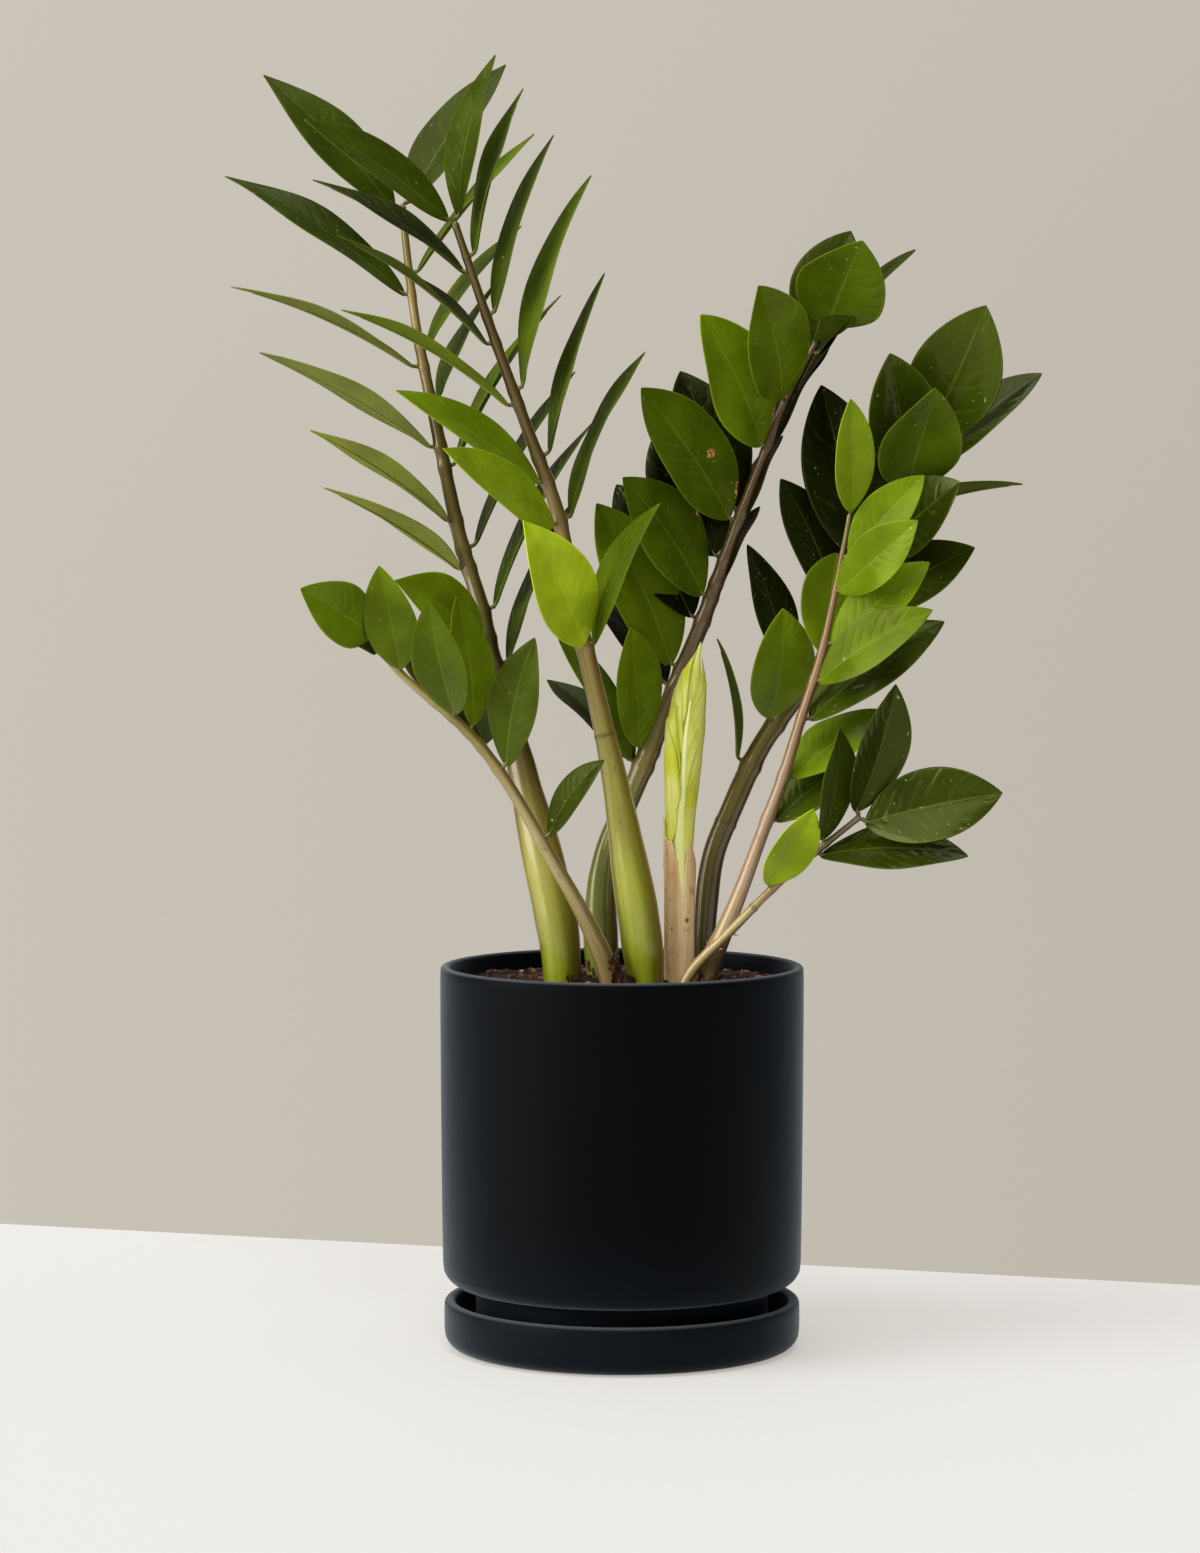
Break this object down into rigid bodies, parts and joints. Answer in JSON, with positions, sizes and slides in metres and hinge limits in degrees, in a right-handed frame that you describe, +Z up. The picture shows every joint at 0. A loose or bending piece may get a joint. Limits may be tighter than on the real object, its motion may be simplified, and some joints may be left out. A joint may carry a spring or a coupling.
{
  "type": "potted zz plant",
  "caption": "Potted ZZ plant: a matte cylinder pot on a saucer, soil, arching stalks with two rows of glossy leaflets and a furled new shoot.",
  "frame": {"origin": "centre of the saucer's underside, on the surface it stands on", "axes": "+Z up through the pot's axis, -Y towards the front, +X to the right seen from the front"},
  "size_m": [0.3459, 0.1625, 0.5406],
  "materials": {
    "glaze": "matte near-black glaze with a soft satin sheen",
    "soil": "rough moist potting mix with bark chips",
    "stalk": "smooth waxy skin, olive at the foot and brown above",
    "leaflet": "glossy waxy upper face, matte paler underside",
    "shoot": "soft satin young leaf",
    "sheath": "dry fibrous papery skin"
  },
  "bodies": {
    "root": {"back_right_leaflet_left_1": "leaflet", "back_right_leaflet_left_2": "leaflet", "back_right_leaflet_right_1": "leaflet", "back_right_leaflet_right_2": "leaflet", "back_right_leaflet_right_3": "leaflet", "back_right_stalk": "stalk", "front_right_leaflet_left_1": "leaflet", "front_right_leaflet_right_1": "leaflet", "front_right_leaflet_right_2": "leaflet", "front_right_leaflet_right_3": "leaflet", "front_right_leaflet_right_4": "leaflet", "front_right_stalk": "stalk", "low_left_leaflet_left_1": "leaflet", "low_left_leaflet_right_1": "leaflet", "low_left_leaflet_right_2": "leaflet", "low_left_leaflet_right_3": "leaflet", "low_left_stalk": "stalk", "low_right_leaflet_left_1": "leaflet", "low_right_leaflet_left_2": "leaflet", "low_right_leaflet_left_3": "leaflet", "low_right_leaflet_right_1": "leaflet", "low_right_leaflet_right_2": "leaflet", "low_right_stalk": "stalk", "middle_right_leaflet_left_1": "leaflet", "middle_right_leaflet_left_2": "leaflet", "middle_right_leaflet_left_3": "leaflet", "middle_right_leaflet_left_4": "leaflet", "middle_right_leaflet_left_5": "leaflet", "middle_right_leaflet_left_6": "leaflet", "middle_right_leaflet_left_7": "leaflet", "middle_right_stalk": "stalk", "new_shoot": "shoot", "pot": "glaze", "saucer": "glaze", "shoot_sheath": "sheath", "soil": "soil", "tall_centre_leaflet_left_1": "leaflet", "tall_centre_leaflet_left_2": "leaflet", "tall_centre_leaflet_left_3": "leaflet", "tall_centre_leaflet_left_4": "leaflet", "tall_centre_leaflet_left_5": "leaflet", "tall_centre_leaflet_left_6": "leaflet", "tall_centre_leaflet_left_7": "leaflet", "tall_centre_leaflet_right_1": "leaflet", "tall_centre_leaflet_right_2": "leaflet", "tall_centre_leaflet_right_3": "leaflet", "tall_centre_leaflet_right_4": "leaflet", "tall_centre_leaflet_right_5": "leaflet", "tall_centre_stalk": "stalk", "tall_left_leaflet_left_1": "leaflet", "tall_left_leaflet_left_2": "leaflet", "tall_left_leaflet_left_3": "leaflet", "tall_left_leaflet_left_4": "leaflet", "tall_left_leaflet_left_5": "leaflet", "tall_left_leaflet_left_6": "leaflet", "tall_left_leaflet_left_7": "leaflet", "tall_left_leaflet_right_1": "leaflet", "tall_left_leaflet_right_2": "leaflet", "tall_left_leaflet_right_3": "leaflet", "tall_left_stalk": "stalk"}
  },
  "joints": []
}
